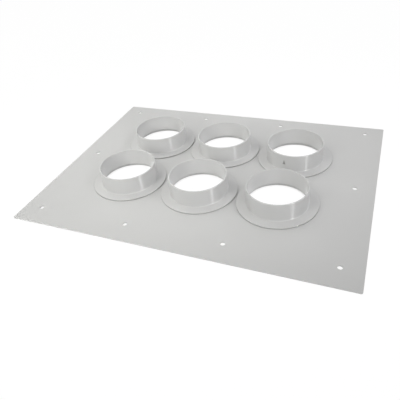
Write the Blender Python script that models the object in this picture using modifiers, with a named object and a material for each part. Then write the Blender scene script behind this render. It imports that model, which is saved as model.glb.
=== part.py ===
"""Cable entry plate: a thin painted sheet plate that carries six flanged cable ports.

The plate lies flat with its underside at z = 0 and its centre over the origin.
Its long side runs along X. Each port is a round hole through the plate, with a
turned-up sheet collar standing on the plate around it. Ten plain holes near
the plate's edges take the screws that hold it over an opening in a wall.
"""
import math

import bmesh
import bpy
from mathutils import Vector

# Driving dimensions, in metres
PORT_COLUMNS = 3
PORT_ROWS = 2
BORE_DIAMETER = 0.099
COLLAR_SHEET = 0.0024
COLLAR_HEIGHT = 0.0340
RIM_ROUNDING = 0.0007
ROOT_FILLET = 0.0020
FLANGE_REACH = 0.0171
FLANGE_EDGE_BREAK = 0.0005
FLANGE_SPACING_X = 0.0034
FLANGE_SPACING_Y = 0.0050

PLATE_SHEET = 0.0020
PLATE_BORDER_SIDE = 0.0821
PLATE_BORDER_FRONT = 0.0890
PLATE_BORDER_BACK = 0.0750
PLATE_CORNER_RADIUS = 0.0025
PORT_HOLE_CLEARANCE = 0.0030

FIXING_HOLE_DIAMETER = 0.0080
FIXING_INSET_SIDE = 0.0337
FIXING_INSET_FRONT = 0.0380
FIXING_INSET_BACK = 0.0262
FIXINGS_ALONG_LENGTH = 4
FIXINGS_ALONG_WIDTH = 3

SEAT_GAP = 0.0003

# How finely round shapes are faceted
RING_STEPS = 60
HOLE_STEPS = 20
BEND_STEPS = 3
EDGE_STEPS = 2
CORNER_STEPS = 4

# Sizes that follow from the driving ones
BORE_RADIUS = BORE_DIAMETER / 2
NECK_RADIUS = BORE_RADIUS + COLLAR_SHEET
FLANGE_RADIUS = NECK_RADIUS + FLANGE_REACH
PORT_PITCH_X = 2 * FLANGE_RADIUS + FLANGE_SPACING_X
PORT_PITCH_Y = 2 * FLANGE_RADIUS + FLANGE_SPACING_Y
PORT_HOLE_RADIUS = BORE_RADIUS + PORT_HOLE_CLEARANCE
PORT_GROUP_LENGTH = PORT_COLUMNS * PORT_PITCH_X - FLANGE_SPACING_X
PORT_GROUP_WIDTH = PORT_ROWS * PORT_PITCH_Y - FLANGE_SPACING_Y
PORT_GROUP_Y = (PLATE_BORDER_FRONT - PLATE_BORDER_BACK) / 2
PLATE_LENGTH = PORT_GROUP_LENGTH + 2 * PLATE_BORDER_SIDE
PLATE_WIDTH = PORT_GROUP_WIDTH + PLATE_BORDER_FRONT + PLATE_BORDER_BACK
COLLAR_SEAT_Z = PLATE_SHEET + SEAT_GAP


def clear_scene():
    """Start from an empty scene."""
    for old in list(bpy.data.objects):
        bpy.data.objects.remove(old, do_unlink=True)


def new_collection(name):
    """Make a collection and link it to the scene."""
    collection = bpy.data.collections.new(name)
    bpy.context.scene.collection.children.link(collection)
    return collection


def painted_sheet(name, colour):
    """Light grey semi-gloss paint on sheet metal."""
    material = bpy.data.materials.new(name)
    material.use_nodes = True
    shader = material.node_tree.nodes["Principled BSDF"]
    shader.inputs["Base Color"].default_value = (*colour, 1.0)
    shader.inputs["Metallic"].default_value = 0.0
    shader.inputs["Roughness"].default_value = 0.35
    return material


def arc(centre, radius, start, end, steps):
    """Points on a circular arc in a plane, both ends included, angles in degrees."""
    points = []
    for step in range(steps + 1):
        angle = math.radians(start + (end - start) * step / steps)
        points.append((centre[0] + radius * math.cos(angle),
                       centre[1] + radius * math.sin(angle)))
    return points


def evenly_spaced(first, last, count):
    """Places from first to last, both included, with equal gaps."""
    return [first + (last - first) * index / max(count - 1, 1) for index in range(count)]


def port_centres():
    """Centre of each port, front row first, left to right."""
    reach_x = PORT_GROUP_LENGTH / 2 - FLANGE_RADIUS
    reach_y = PORT_GROUP_WIDTH / 2 - FLANGE_RADIUS
    return [Vector((x, y, 0.0))
            for y in evenly_spaced(PORT_GROUP_Y - reach_y, PORT_GROUP_Y + reach_y, PORT_ROWS)
            for x in evenly_spaced(-reach_x, reach_x, PORT_COLUMNS)]


def fixing_centres():
    """Centres of the screw holes, evenly spaced round a rectangle inside the plate's edge."""
    side = PLATE_LENGTH / 2 - FIXING_INSET_SIDE
    front = -PLATE_WIDTH / 2 + FIXING_INSET_FRONT
    back = PLATE_WIDTH / 2 - FIXING_INSET_BACK
    xs = evenly_spaced(-side, side, FIXINGS_ALONG_LENGTH)
    ys = evenly_spaced(front, back, FIXINGS_ALONG_WIDTH)
    return [Vector((x, y, 0.0)) for y in ys for x in xs
            if x in (xs[0], xs[-1]) or y in (ys[0], ys[-1])]


def plate_blank(name, collection):
    """The uncut sheet: a flat outline with rounded corners, extruded to the sheet's thickness."""
    half_x = PLATE_LENGTH / 2 - PLATE_CORNER_RADIUS
    half_y = PLATE_WIDTH / 2 - PLATE_CORNER_RADIUS
    corners = [(half_x, half_y, 0), (-half_x, half_y, 90),
               (-half_x, -half_y, 180), (half_x, -half_y, 270)]
    outline = []
    for x, y, start in corners:
        outline += arc((x, y), PLATE_CORNER_RADIUS, start, start + 90, CORNER_STEPS)

    curve = bpy.data.curves.new(name, "CURVE")
    curve.dimensions = "2D"
    curve.fill_mode = "BOTH"
    curve.extrude = PLATE_SHEET / 2
    spline = curve.splines.new("POLY")
    spline.points.add(len(outline) - 1)
    for point, (x, y) in zip(spline.points, outline):
        point.co = (x, y, 0.0, 1.0)
    spline.use_cyclic_u = True
    guide = bpy.data.objects.new(name + "_outline", curve)
    guide.location.z = PLATE_SHEET / 2
    collection.objects.link(guide)
    return curve_to_mesh_object(guide, name, collection)


def curve_to_mesh_object(guide, name, collection):
    """Turn a curve object into a closed mesh object at the same place."""
    bpy.context.view_layer.update()
    evaluated = guide.evaluated_get(bpy.context.evaluated_depsgraph_get())
    mesh = bpy.data.meshes.new_from_object(evaluated)
    mesh.name = name
    weld_mesh(mesh)
    solid = bpy.data.objects.new(name, mesh)
    solid.matrix_world = guide.matrix_world
    collection.objects.link(solid)
    bpy.data.objects.remove(guide, do_unlink=True)
    return solid


def weld_mesh(mesh):
    """Join the caps of a filled curve to its sides."""
    editable = bmesh.new()
    editable.from_mesh(mesh)
    bmesh.ops.remove_doubles(editable, verts=editable.verts, dist=0.00001)
    bmesh.ops.recalc_face_normals(editable, faces=editable.faces)
    editable.to_mesh(mesh)
    editable.free()


def punch(plate, name, centre, radius, steps, collection):
    """Cut one round hole through the sheet."""
    bpy.ops.mesh.primitive_cylinder_add(
        vertices=steps, radius=radius, depth=3 * PLATE_SHEET,
        location=(centre.x, centre.y, PLATE_SHEET / 2))
    cutter = bpy.context.object
    cutter.name = name
    cutter.display_type = "WIRE"
    cutter.hide_render = True
    for home in list(cutter.users_collection):
        home.objects.unlink(cutter)
    collection.objects.link(cutter)

    cut = plate.modifiers.new(name, "BOOLEAN")
    cut.operation = "DIFFERENCE"
    cut.solver = "EXACT"
    cut.object = cutter


def entry_plate(parts, cutters, material):
    """The flat sheet with its six port holes and ten screw holes."""
    plate = plate_blank("entry_plate", parts)
    for index, centre in enumerate(port_centres(), start=1):
        punch(plate, f"port_hole_{index}", centre, PORT_HOLE_RADIUS, RING_STEPS, cutters)
    for index, centre in enumerate(fixing_centres(), start=1):
        punch(plate, f"screw_hole_{index}", centre, FIXING_HOLE_DIAMETER / 2, HOLE_STEPS, cutters)
    plate.data.materials.append(material)
    return plate


def collar_profile():
    """Half section of a collar as (radius, height) points, down the outside and up the bore.

    One sheet thickness runs all the way: a straight neck with a rounded rim, a
    bend at its root, and a flat flange whose top edge is slightly broken.
    """
    rounding = min(RIM_ROUNDING, 0.45 * COLLAR_SHEET)
    edge_break = min(FLANGE_EDGE_BREAK, 0.45 * COLLAR_SHEET)
    rim_z = COLLAR_HEIGHT - rounding
    bend_middle = (NECK_RADIUS + ROOT_FILLET, COLLAR_SHEET + ROOT_FILLET)

    points = arc((NECK_RADIUS - rounding, rim_z), rounding, 90, 0, EDGE_STEPS)
    points += arc(bend_middle, ROOT_FILLET, 180, 270, BEND_STEPS)
    points += [(FLANGE_RADIUS - edge_break, COLLAR_SHEET),
               (FLANGE_RADIUS, COLLAR_SHEET - edge_break),
               (FLANGE_RADIUS, 0.0)]
    points += arc(bend_middle, ROOT_FILLET + COLLAR_SHEET, 270, 180, BEND_STEPS)
    points += arc((BORE_RADIUS + rounding, rim_z), rounding, 180, 90, EDGE_STEPS)
    return points


def collar_mesh(name, material):
    """The collar's section as edges, ready to be turned round its axis."""
    profile = collar_profile()
    count = len(profile)
    mesh = bpy.data.meshes.new(name)
    mesh.from_pydata([(radius, 0.0, height) for radius, height in profile],
                     [(index, (index + 1) % count) for index in range(count)], [])
    mesh.materials.append(material)
    return mesh


def port_collar(index, centre, mesh, parts):
    """One collar, turned from its section and standing on the plate around its port."""
    collar = bpy.data.objects.new(f"port_collar_{index}", mesh)
    collar.location = (centre.x, centre.y, COLLAR_SEAT_Z)
    parts.objects.link(collar)
    turn = collar.modifiers.new("turn", "SCREW")
    turn.axis = "Z"
    turn.angle = math.tau
    turn.steps = RING_STEPS
    turn.render_steps = RING_STEPS
    turn.use_merge_vertices = True
    turn.merge_threshold = 0.00001
    turn.use_smooth_shade = True
    return collar


def build():
    """Make the plate and its collars."""
    clear_scene()
    parts = new_collection("cable_entry_plate")
    cutters = new_collection("cutters")
    paint = painted_sheet("light_grey_paint", (0.60, 0.60, 0.59))
    entry_plate(parts, cutters, paint)
    section = collar_mesh("port_collar", paint)
    for index, centre in enumerate(port_centres(), start=1):
        port_collar(index, centre, section, parts)


build()
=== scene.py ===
"""Cable entry plate: a thin painted sheet plate that carries six flanged cable ports."""
import math

import bmesh
import bpy
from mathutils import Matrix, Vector


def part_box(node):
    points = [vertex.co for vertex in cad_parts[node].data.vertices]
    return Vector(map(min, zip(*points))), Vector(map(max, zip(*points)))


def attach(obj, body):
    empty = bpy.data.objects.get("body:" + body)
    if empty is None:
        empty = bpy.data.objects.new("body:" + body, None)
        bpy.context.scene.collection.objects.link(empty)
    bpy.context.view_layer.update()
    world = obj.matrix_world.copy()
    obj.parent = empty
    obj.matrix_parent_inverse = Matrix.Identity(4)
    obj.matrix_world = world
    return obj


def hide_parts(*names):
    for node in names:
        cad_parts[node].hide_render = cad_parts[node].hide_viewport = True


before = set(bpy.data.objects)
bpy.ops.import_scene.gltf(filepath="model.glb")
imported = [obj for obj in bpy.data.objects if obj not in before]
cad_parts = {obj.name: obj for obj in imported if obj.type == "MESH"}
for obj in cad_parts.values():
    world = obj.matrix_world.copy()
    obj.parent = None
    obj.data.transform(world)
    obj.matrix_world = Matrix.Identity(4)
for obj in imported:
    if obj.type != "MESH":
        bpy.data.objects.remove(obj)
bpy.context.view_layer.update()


# Entry plate
# One flat piece of 2 mm steel sheet. It is cut to size, its port and screw holes are cut in
# the same set-up, the burr is taken off, and it is powder-coated light grey on both sides.
PLATE_CORNER_RADIUS = 0.0025
PLATE_EDGE_BREAK = 0.0003
EDGE_SEGMENTS = 3
CORNER_SEGMENTS = 8
SCREW_HOLE_DIAMETER = 0.0080
SCREW_INSET_SIDE = 0.0337
SCREW_INSET_FRONT = 0.0380
SCREW_INSET_BACK = 0.0262
SCREWS_ALONG_LENGTH = 4
SCREWS_ALONG_WIDTH = 3
SCREW_HOLE_SIDES = 48
PORT_HOLE_DIAMETER = 0.1050
PORT_HOLE_SIDES = 160
SHARP_ANGLE = math.radians(40)
UPRIGHT_RISE = 0.9

PLATE_LOW, PLATE_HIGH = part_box("entry_plate")
CUTTER_LENGTH = 3 * (PLATE_HIGH.z - PLATE_LOW.z)
COLLAR_NODES = sorted(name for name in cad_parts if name.startswith("port_collar"))


def select_only(piece):
    """Make one object the selected and active one."""
    bpy.ops.object.select_all(action="DESELECT")
    piece.select_set(True)
    bpy.context.view_layer.objects.active = piece


def named_piece(name):
    """Name the primitive just added and put its place into its mesh."""
    piece = bpy.context.object
    piece.name = piece.data.name = name
    select_only(piece)
    bpy.ops.object.transform_apply(location=True, rotation=True, scale=True)
    return piece


def select_edges(piece, wanted):
    """Go into edit mode with only the wanted edges selected."""
    select_only(piece)
    bpy.ops.object.mode_set(mode="EDIT")
    bpy.ops.mesh.select_mode(type="EDGE")
    bpy.ops.mesh.select_all(action="DESELECT")
    mesh = bmesh.from_edit_mesh(piece.data)
    for edge in mesh.edges:
        if wanted(edge):
            edge.select_set(True)
    bmesh.update_edit_mesh(piece.data)


def apply_modifier(piece, kind, **settings):
    """Add one modifier with its settings and apply it."""
    select_only(piece)
    modifier = piece.modifiers.new(kind.lower(), kind)
    for setting, value in settings.items():
        setattr(modifier, setting, value)
    bpy.ops.object.modifier_apply(modifier=modifier.name)


def evenly_spaced(first, last, count):
    """Places from first to last, both included, with equal gaps."""
    return [first + (last - first) * index / (count - 1) for index in range(count)]


def screw_places():
    """Centres of the screw holes, evenly spaced round a rectangle inside the plate's edge."""
    xs = evenly_spaced(PLATE_LOW.x + SCREW_INSET_SIDE, PLATE_HIGH.x - SCREW_INSET_SIDE,
                       SCREWS_ALONG_LENGTH)
    ys = evenly_spaced(PLATE_LOW.y + SCREW_INSET_FRONT, PLATE_HIGH.y - SCREW_INSET_BACK,
                       SCREWS_ALONG_WIDTH)
    return [(x, y) for y in ys for x in xs if x in (xs[0], xs[-1]) or y in (ys[0], ys[-1])]


def port_places():
    """Axis of each port, in the order of the collars' names."""
    boxes = [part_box(name) for name in COLLAR_NODES]
    return [((low.x + high.x) / 2, (low.y + high.y) / 2) for low, high in boxes]


def punch(plate, place, diameter, sides):
    """Cut one round hole through the sheet."""
    bpy.ops.mesh.primitive_cylinder_add(
        vertices=sides, radius=diameter / 2, depth=CUTTER_LENGTH,
        location=(*place, (PLATE_LOW.z + PLATE_HIGH.z) / 2))
    cutter = named_piece("hole_cutter")
    apply_modifier(plate, "BOOLEAN", operation="DIFFERENCE", solver="EXACT", object=cutter)
    bpy.data.objects.remove(cutter, do_unlink=True)


def is_upright(edge):
    """Whether an edge rises by nearly its whole length."""
    start, end = (corner.co for corner in edge.verts)
    return abs(start.z - end.z) > UPRIGHT_RISE * edge.calc_length()


def entry_plate():
    """The flat sheet with rounded corners, its holes, and every edge slightly rounded by paint."""
    bpy.ops.mesh.primitive_cube_add(size=1, location=(PLATE_LOW + PLATE_HIGH) / 2,
                                    scale=PLATE_HIGH - PLATE_LOW)
    plate = named_piece("painted_entry_plate")
    select_edges(plate, is_upright)
    bpy.ops.mesh.bevel(offset=PLATE_CORNER_RADIUS, segments=CORNER_SEGMENTS, affect="EDGES")
    bpy.ops.object.mode_set(mode="OBJECT")
    for place in port_places():
        punch(plate, place, PORT_HOLE_DIAMETER, PORT_HOLE_SIDES)
    for place in screw_places():
        punch(plate, place, SCREW_HOLE_DIAMETER, SCREW_HOLE_SIDES)
    apply_modifier(plate, "BEVEL", width=PLATE_EDGE_BREAK, segments=EDGE_SEGMENTS,
                   limit_method="ANGLE", angle_limit=SHARP_ANGLE)
    bpy.ops.object.shade_smooth_by_angle(angle=SHARP_ANGLE)
    apply_modifier(plate, "WEIGHTED_NORMAL", keep_sharp=True)
    return plate


def linear(hex_colour):
    """An sRGB hex colour as the linear RGBA that a shader takes."""
    channels = [int(hex_colour[start:start + 2], 16) / 255 for start in (1, 3, 5)]
    return (*[c / 12.92 if c <= 0.04045 else ((c + 0.055) / 1.055) ** 2.4 for c in channels], 1)


def add_node(tree, kind, properties=None, values=None, links=None):
    """Add one node with its properties, its sockets' own values and the sources linked to them."""
    node = tree.nodes.new(kind)
    for name, value in (properties or {}).items():
        setattr(node, name, value)
    for socket, value in (values or {}).items():
        node.inputs[socket].default_value = value
    for socket, source in (links or {}).items():
        tree.links.new(source, node.inputs[socket])
    return node


# Semi-gloss polyester powder coat: a light neutral grey, an even skin whose fine orange peel of
# 2 mm dimples softens reflections, and slightly duller in patches of about 70 mm where hands and
# packing have rubbed it.
PAINT_COLOUR = "#CCCCCC"
RUBBED_COLOUR = "#C9C9C9"
PAINT_IOR = 1.50
GLOSS_ROUGHNESS = 0.10
RUBBED_ROUGHNESS = 0.13
PATCH_SIZE = 0.070
PATCH_DETAIL = 3.0
RUB_START = 0.35
RUB_FULL = 0.65
PEEL_SIZE = 0.0022
PEEL_DETAIL = 1.0
PEEL_DEPTH = 0.000008


def powder_coat(name, smooth, rubbed):
    """Light grey paint whose roughness runs from the smooth value to the rubbed one."""
    material = bpy.data.materials.new(name)
    material.use_nodes = True
    tree = material.node_tree
    shader = tree.nodes["Principled BSDF"]
    shader.inputs["IOR"].default_value = PAINT_IOR
    place = add_node(tree, "ShaderNodeTexCoord").outputs["Object"]

    patches = add_node(tree, "ShaderNodeTexNoise",
                       values={"Scale": 1 / PATCH_SIZE, "Detail": PATCH_DETAIL},
                       links={"Vector": place}).outputs["Fac"]
    tint = add_node(tree, "ShaderNodeMix", {"data_type": "RGBA"},
                    {"A": linear(PAINT_COLOUR), "B": linear(RUBBED_COLOUR)}, {"Factor": patches})
    tree.links.new(tint.outputs["Result"], shader.inputs["Base Color"])

    rub = add_node(tree, "ShaderNodeMapRange",
                   values={"From Min": RUB_START, "From Max": RUB_FULL, "To Min": smooth,
                           "To Max": rubbed}, links={"Value": patches})
    tree.links.new(rub.outputs["Result"], shader.inputs["Roughness"])

    peel = add_node(tree, "ShaderNodeTexNoise",
                    values={"Scale": 1 / PEEL_SIZE, "Detail": PEEL_DETAIL},
                    links={"Vector": place}).outputs["Fac"]
    bump = add_node(tree, "ShaderNodeBump", values={"Distance": PEEL_DEPTH},
                    links={"Height": peel})
    tree.links.new(bump.outputs["Normal"], shader.inputs["Normal"])
    return material


plate = entry_plate()
plate.data.materials.append(
    powder_coat("light_grey_powder_coat", GLOSS_ROUGHNESS, RUBBED_ROUGHNESS))
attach(plate, "root")
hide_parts("entry_plate")


# Port collars
# Six short necks, each spun from one piece of 2.4 mm steel sheet, with a flat flange turned out
# at its foot. They stand on the plate round the port holes and are powder-coated like it.
COLLAR_SHEET = 0.0024
FLANGE_REACH = 0.0171
ROOT_FILLET = 0.0020
RIM_ROUNDING = 0.0007
FLANGE_EDGE_BREAK = 0.0005
RING_SIDES = 192
FILLET_SEGMENTS = 6
ROUNDING_SEGMENTS = 4
LOOP_TOLERANCE = 0.00005

COLLAR_LOW, COLLAR_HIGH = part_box(COLLAR_NODES[0])
FLANGE_RADIUS = (COLLAR_HIGH.x - COLLAR_LOW.x) / 2
FLANGE_TOP = COLLAR_LOW.z + COLLAR_SHEET
NECK_RADIUS = FLANGE_RADIUS - FLANGE_REACH


def spun_collar(place):
    """One collar: an open cylinder, its foot drawn out flat, thickened and edge-rounded."""
    def ring_at(radius, height):
        return lambda edge: all(abs(math.dist(corner.co.xy, place) - radius) < LOOP_TOLERANCE
                                and abs(corner.co.z - height) < LOOP_TOLERANCE
                                for corner in edge.verts)

    def round_ring(radius, height, rounding, segments):
        select_edges(collar, ring_at(radius, height))
        bpy.ops.mesh.bevel(offset=rounding, segments=segments, affect="EDGES")
        bpy.ops.object.mode_set(mode="OBJECT")

    bpy.ops.mesh.primitive_cylinder_add(
        vertices=RING_SIDES, radius=NECK_RADIUS, depth=COLLAR_HIGH.z - FLANGE_TOP,
        end_fill_type="NOTHING", location=(*place, (COLLAR_HIGH.z + FLANGE_TOP) / 2))
    collar = named_piece("spun_collar")
    select_edges(collar, ring_at(NECK_RADIUS, FLANGE_TOP))
    bpy.ops.mesh.extrude_region_move()
    widening = FLANGE_RADIUS / NECK_RADIUS
    bpy.ops.transform.resize(value=(widening, widening, 1), center_override=(*place, FLANGE_TOP))
    bpy.ops.object.mode_set(mode="OBJECT")
    round_ring(NECK_RADIUS, FLANGE_TOP, ROOT_FILLET, FILLET_SEGMENTS)
    apply_modifier(collar, "SOLIDIFY", thickness=COLLAR_SHEET, offset=-1, use_even_offset=True)
    for radius in (NECK_RADIUS, NECK_RADIUS - COLLAR_SHEET):
        round_ring(radius, COLLAR_HIGH.z, RIM_ROUNDING, ROUNDING_SEGMENTS)
    for height in (FLANGE_TOP, COLLAR_LOW.z):
        round_ring(FLANGE_RADIUS, height, FLANGE_EDGE_BREAK, ROUNDING_SEGMENTS)
    bpy.ops.object.shade_smooth_by_angle(angle=SHARP_ANGLE)
    return collar


# The roller that spins a neck leaves fine rings round its outside. They show through the paint
# only in the gloss, which they draw out a quarter turn from the rings into an upright line. Under
# a roughness of 0.274 the render's noise filter smudges that line, so both values stay above it.
ROLLED_GLOSS = 0.28
ROLLED_RUBBED = 0.30
STRETCH = 1.0
STRETCH_TURN = 0.25

# A painted shade darkens the lowest edge of each flange, in the joint with the plate: the paint's
# colour fades into dark grey there.
PAINTED_SHADE_COLOUR = "#4C4B48"
PAINTED_SHADE_FULL = 0.0006
PAINTED_SHADE_END = 0.0011
PAINTED_SHADE_SHARE = 0.5


def painted_shade_at_foot(material):
    """Fade the paint's colour into a painted shade of dark grey at the flange's lowest edge."""
    tree = material.node_tree
    base = tree.nodes["Principled BSDF"].inputs["Base Color"]
    place = add_node(tree, "ShaderNodeTexCoord").outputs["Object"]
    height = add_node(tree, "ShaderNodeSeparateXYZ", links={"Vector": place}).outputs["Z"]
    # Painted shade: full just above the flange's underside, gone a little higher up.
    painted_shade = add_node(tree, "ShaderNodeMapRange",
                     values={"From Min": COLLAR_LOW.z + PAINTED_SHADE_FULL,
                             "From Max": COLLAR_LOW.z + PAINTED_SHADE_END,
                             "To Min": PAINTED_SHADE_SHARE, "To Max": 0.0}, links={"Value": height})
    tint = add_node(tree, "ShaderNodeMix", {"data_type": "RGBA"}, {"B": linear(PAINTED_SHADE_COLOUR)},
                    {"Factor": painted_shade.outputs["Result"], "A": base.links[0].from_socket})
    tree.links.new(tint.outputs["Result"], base)


def paint_collar(collar, place):
    """Give the neck's outside and root bend the rolled finish, and bore and flange the plain one."""
    rolled = powder_coat("light_grey_powder_coat_on_spun_sheet", ROLLED_GLOSS, ROLLED_RUBBED)
    shader = rolled.node_tree.nodes["Principled BSDF"]
    shader.inputs["Anisotropic"].default_value = STRETCH
    shader.inputs["Anisotropic Rotation"].default_value = STRETCH_TURN
    plain = powder_coat("light_grey_powder_coat_on_collars", GLOSS_ROUGHNESS, RUBBED_ROUGHNESS)
    finishes = (rolled, plain)
    for finish in finishes:
        painted_shade_at_foot(finish)
        collar.data.materials.append(finish)
    wall_middle = NECK_RADIUS - COLLAR_SHEET / 2
    for face in collar.data.polygons:
        on_neck = (math.dist(face.center.xy, place) > wall_middle
                   and face.center.z > FLANGE_TOP + LOOP_TOLERANCE)
        face.material_index = finishes.index(rolled if on_neck else plain)


# A knock on the neck of the back right collar has flaked a small three-cornered chip of paint off
# it. The bare steel in it has dulled to a darker grey than the paint, with a faint grain that is
# drawn 0.6 mm coarse to show at all.
CHIPPED_COLLAR = COLLAR_NODES[-1]
CHIP_AZIMUTH = math.radians(-100.8)
CHIP_FOOT = 0.0180
CHIP_WIDTH = 0.0055
CHIP_TALL = 0.0090
CHIP_DEPTH = 0.0002
STEEL_DARK = "#9C9C9A"
STEEL_LIGHT = "#B4B4B2"
STEEL_ROUGHNESS = 0.6
STEEL_GRAIN = 0.0006

# Width and height of a three-cornered primitive whose radius is one
TRIANGLE_WIDTH = math.sqrt(3)
TRIANGLE_HEIGHT = 1.5


def dull_steel():
    """Bare steel with a faint grain, dulled by air and handling."""
    material = bpy.data.materials.new("dulled_bare_steel")
    material.use_nodes = True
    tree = material.node_tree
    shader = tree.nodes["Principled BSDF"]
    shader.inputs["Metallic"].default_value = 1.0
    shader.inputs["Roughness"].default_value = STEEL_ROUGHNESS
    place = add_node(tree, "ShaderNodeTexCoord").outputs["Object"]
    grain = add_node(tree, "ShaderNodeTexNoise", values={"Scale": 1 / STEEL_GRAIN},
                     links={"Vector": place}).outputs["Fac"]
    tint = add_node(tree, "ShaderNodeMix", {"data_type": "RGBA"},
                    {"A": linear(STEEL_DARK), "B": linear(STEEL_LIGHT)}, {"Factor": grain})
    tree.links.new(tint.outputs["Result"], shader.inputs["Base Color"])
    return material


def chip_paint(collar, place):
    """Press a shallow three-cornered pocket, point up, into the outside of the neck."""
    outwards = Vector((math.cos(CHIP_AZIMUTH), math.sin(CHIP_AZIMUTH), 0))
    point_reach = CHIP_TALL / TRIANGLE_HEIGHT
    middle = Vector((*place, CHIP_FOOT + CHIP_TALL - point_reach)) + NECK_RADIUS * outwards
    bpy.ops.mesh.primitive_cylinder_add(
        vertices=3, radius=1, depth=2 * CHIP_DEPTH, location=middle,
        rotation=(math.pi / 2, 0, CHIP_AZIMUTH + math.pi / 2))
    cutter = bpy.context.object
    cutter.scale = (CHIP_WIDTH / TRIANGLE_WIDTH, point_reach, 1)
    cutter = named_piece("chip_cutter")
    collar.data.materials.append(dull_steel())
    for material in collar.data.materials:
        cutter.data.materials.append(material)
    bare = len(cutter.data.materials) - 1
    cutter.data.polygons.foreach_set("material_index", [bare] * len(cutter.data.polygons))
    apply_modifier(collar, "BOOLEAN", operation="DIFFERENCE", solver="EXACT", object=cutter)
    bpy.data.objects.remove(cutter, do_unlink=True)
    bpy.ops.object.shade_smooth_by_angle(angle=SHARP_ANGLE)


first_place = port_places()[0]
first_collar = spun_collar(first_place)
paint_collar(first_collar, first_place)
collars = [first_collar]
for place in port_places()[1:]:
    collar = first_collar.copy()
    collar.data = first_collar.data.copy()
    bpy.context.scene.collection.objects.link(collar)
    select_only(collar)
    collar.location = (place[0] - first_place[0], place[1] - first_place[1], 0)
    bpy.ops.object.transform_apply(location=True, rotation=False, scale=False)
    collars.append(collar)
for collar, node, place in zip(collars, COLLAR_NODES, port_places()):
    collar.name = collar.data.name = "painted_" + node
    if node == CHIPPED_COLLAR:
        chip_paint(collar, place)
    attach(collar, "root")
    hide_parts(node)


# Floor
# A wide sheet of matt white card under the plate. The lamps light it as card, while the camera
# and the gloss see it as plain white, faintly shaded where the plate lies on it.
FLOOR_SIZE = 6.0
FLOOR_DROP = 0.0002
FLOOR_COLOUR = "#F7F7F7"
GLOW = 1.02
GLOW_SHARE = 0.96
CREVICE_REACH = 0.006
CREVICE_DARK = 0.15
CREVICE_LIGHT = 0.50


def seen_directly(tree):
    """One for the rays that the camera, gloss and glass see by, and nought for the rest."""
    path = add_node(tree, "ShaderNodeLightPath")
    total = path.outputs["Is Camera Ray"]
    for ray in ("Is Glossy Ray", "Is Transmission Ray"):
        total = add_node(tree, "ShaderNodeMath", {"operation": "MAXIMUM"},
                         links={0: total, 1: path.outputs[ray]}).outputs[0]
    return total


def matt_white_card():
    """White card that glows for the camera and the gloss, but not in the crevice under an edge."""
    material = bpy.data.materials.new("matt_white_card")
    material.use_nodes = True
    tree = material.node_tree
    tree.nodes.clear()
    matt = add_node(tree, "ShaderNodeBsdfDiffuse", values={"Color": linear(FLOOR_COLOUR)})
    glow = add_node(tree, "ShaderNodeEmission", values={"Strength": GLOW})
    openness = add_node(tree, "ShaderNodeAmbientOcclusion",
                        values={"Distance": CREVICE_REACH}).outputs["AO"]
    share = add_node(tree, "ShaderNodeMapRange",
                     values={"From Min": CREVICE_DARK, "From Max": CREVICE_LIGHT,
                             "To Max": GLOW_SHARE}, links={"Value": openness}).outputs["Result"]
    seen_share = add_node(tree, "ShaderNodeMath", {"operation": "MULTIPLY"},
                          links={0: share, 1: seen_directly(tree)}).outputs[0]
    surface = add_node(tree, "ShaderNodeMixShader",
                       links={0: seen_share, 1: matt.outputs[0], 2: glow.outputs[0]})
    add_node(tree, "ShaderNodeOutputMaterial", links={"Surface": surface.outputs[0]})
    return material


bpy.ops.mesh.primitive_plane_add(size=FLOOR_SIZE, location=(0, 0, PLATE_LOW.z - FLOOR_DROP))
floor = named_piece("studio_floor")
floor.data.materials.append(matt_white_card())


# Studio light
# An even room light and a wide soft box on the left give the plain level, and six narrow boxes,
# each aimed at one part of the plate, even it out. The left ones are a trace warmer. A low slim
# lamp that only the collars' gloss sees draws a fine bright line down each neck.
AMBIENT = 0.3
BACKDROP = 1.0
NEUTRAL_LIGHT = "#FFFFFF"
WARM_LIGHT = "#FFFFFA"
FULL_SPREAD = 180
MIDDLE = (0, 0, 0)
PORTS_MIDDLE = (-0.05, 0.05, 0)
RIGHT_BACK = (0.05, 0.12, 0)
LEFT_FRONT = (-0.10, 0.00, 0)
LEFT_BACK = (-0.15, 0.05, 0)
LEFT_CORNER = (-0.16, -0.04, 0)
WIDE_BOX = 0.7
WIDE_DISTANCE = 1.6
WIDE_AZIMUTH = 180
WIDE_ELEVATION = 25
WIDE_WATTS = 3.7
NARROW_BOX = 0.4
NARROW_DISTANCE = 1.2
NARROW_SPREAD = 60
SLIM_PLACE = (0.83, -0.41, 0.285)
SLIM_AIM = (-0.30, -0.02, 0.02)
SLIM_WIDTH = 0.03
SLIM_HEIGHT = 0.20
SLIM_SPREAD = 70
SLIM_WATTS = 1.15

# Name, azimuth, elevation, aim, watts and colour of each narrow box
NARROW_BOXES = (
    ("narrow_front_right_box", 315, 25, PORTS_MIDDLE, 0.353, NEUTRAL_LIGHT),
    ("narrow_right_box", 0, 45, RIGHT_BACK, 0.400, NEUTRAL_LIGHT),
    ("narrow_back_right_box", 53, 35, RIGHT_BACK, 0.203, NEUTRAL_LIGHT),
    ("narrow_front_left_box", 240, 55, LEFT_FRONT, 0.325, WARM_LIGHT),
    ("low_front_left_box", 245, 26, LEFT_CORNER, 0.503, WARM_LIGHT),
    ("top_left_box", 157, 55, LEFT_BACK, 0.307, WARM_LIGHT))


def softbox(name, place, aim, width, height, watts, spread=FULL_SPREAD, colour=NEUTRAL_LIGHT):
    """A rectangular lamp at a place, facing a point. Its light narrows with the spread in degrees."""
    light = bpy.data.lights.new(name, "AREA")
    light.shape = "RECTANGLE"
    light.size = width
    light.size_y = height
    light.energy = watts
    light.color = linear(colour)[:3]
    light.spread = math.radians(spread)
    lamp = bpy.data.objects.new(name, light)
    lamp.location = place
    lamp.rotation_euler = (Vector(place) - Vector(aim)).to_track_quat("Z", "Y").to_euler()
    lamp.visible_camera = lamp.visible_glossy = False
    bpy.context.scene.collection.objects.link(lamp)
    return lamp


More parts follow.
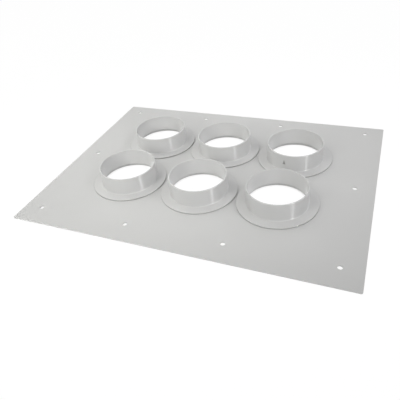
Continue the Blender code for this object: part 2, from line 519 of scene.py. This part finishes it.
def on_dome(azimuth, elevation, distance):
    """A place round the middle of the plate. Azimuth 0 is +X and 90 is +Y, in degrees."""
    turn, rise = math.radians(azimuth), math.radians(elevation)
    return distance * Vector((math.cos(turn) * math.cos(rise), math.sin(turn) * math.cos(rise),
                              math.sin(rise)))


def white_studio():
    """A plain white backdrop for the camera and the gloss, and a softer light for the rest."""
    world = bpy.data.worlds.new("white_studio")
    world.use_nodes = True
    tree = world.node_tree
    tree.nodes.clear()
    room, backdrop = (
        add_node(tree, "ShaderNodeBackground",
                 values={"Color": linear(NEUTRAL_LIGHT), "Strength": strength})
        for strength in (AMBIENT, BACKDROP))
    surface = add_node(tree, "ShaderNodeMixShader",
                       links={0: seen_directly(tree), 1: room.outputs[0], 2: backdrop.outputs[0]})
    add_node(tree, "ShaderNodeOutputWorld", links={"Surface": surface.outputs[0]})
    return world


softbox("left_box", on_dome(WIDE_AZIMUTH, WIDE_ELEVATION, WIDE_DISTANCE), MIDDLE,
        WIDE_BOX, WIDE_BOX, WIDE_WATTS, colour=WARM_LIGHT)
for name, azimuth, elevation, aim, watts, colour in NARROW_BOXES:
    softbox(name, on_dome(azimuth, elevation, NARROW_DISTANCE), aim, NARROW_BOX, NARROW_BOX,
            watts, NARROW_SPREAD, colour)

slim = softbox("slim_box", SLIM_PLACE, SLIM_AIM, SLIM_WIDTH, SLIM_HEIGHT, SLIM_WATTS, SLIM_SPREAD)
slim.visible_diffuse, slim.visible_glossy = False, True
lined_pieces = bpy.data.collections.new("pieces_with_lines")
for collar in collars:
    lined_pieces.objects.link(collar)
slim.light_linking.receiver_collection = lined_pieces

bpy.context.scene.world = white_studio()


# Camera
# Looks down on the plate from the front right, at the angle of the photograph. Its place is in
# metres and its turn in radians about X, Y and Z.
CAMERA_PLACE = (0.2691, -0.6250, 0.4550)
CAMERA_TURN = (0.9141, 0.0940, 0.3766)
CAMERA_LENS = 38.556
SENSOR_WIDTH = 36.0
NEAREST_SEEN = 0.01

camera_data = bpy.data.cameras.new("camera")
camera_data.lens = CAMERA_LENS
camera_data.sensor_width = SENSOR_WIDTH
camera_data.clip_start = NEAREST_SEEN
camera = bpy.data.objects.new("camera", camera_data)
camera.location = CAMERA_PLACE
camera.rotation_euler = CAMERA_TURN
bpy.context.scene.collection.objects.link(camera)
bpy.context.scene.camera = camera
bpy.context.scene.view_settings.view_transform = "Standard"
